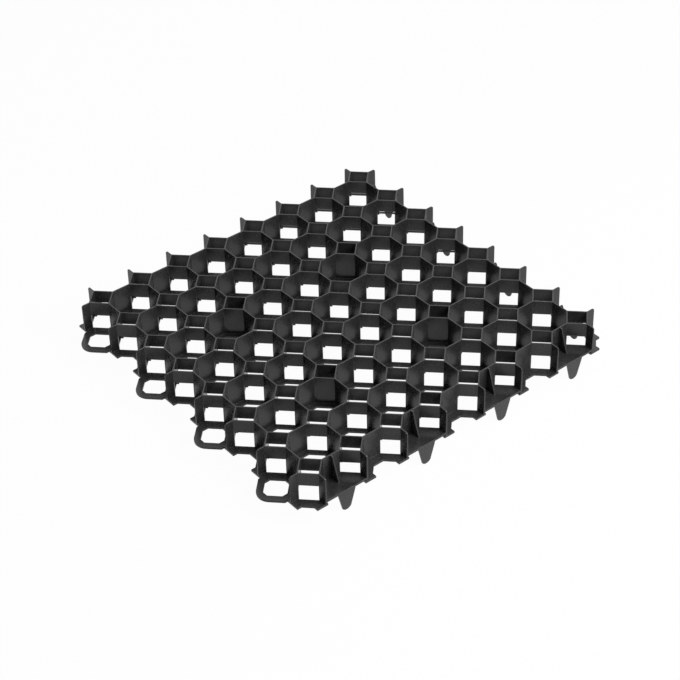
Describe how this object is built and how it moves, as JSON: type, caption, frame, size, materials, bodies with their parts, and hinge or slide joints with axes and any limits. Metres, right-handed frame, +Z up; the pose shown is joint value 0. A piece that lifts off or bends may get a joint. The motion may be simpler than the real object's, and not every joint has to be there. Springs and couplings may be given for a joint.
{
  "type": "grass paver grid tile",
  "caption": "Square moulded plastic ground grid of octagonal cells between turned square tubes, with joining loops on two sides and hanging pegs on the other two.",
  "frame": {"origin": "middle of the bounding box's underside, at the level of the peg tips", "axes": "+Z up through the open cells, +X towards one pegged side and +Y towards the other; the joining loops are on the sides at -X and -Y"},
  "size_m": [0.5204, 0.5204, 0.0665],
  "materials": {
    "black_plastic": "satin injection-moulded recycled polyolefin, black"
  },
  "bodies": {
    "root": {"grass_grid_tile": "black_plastic"}
  },
  "joints": []
}
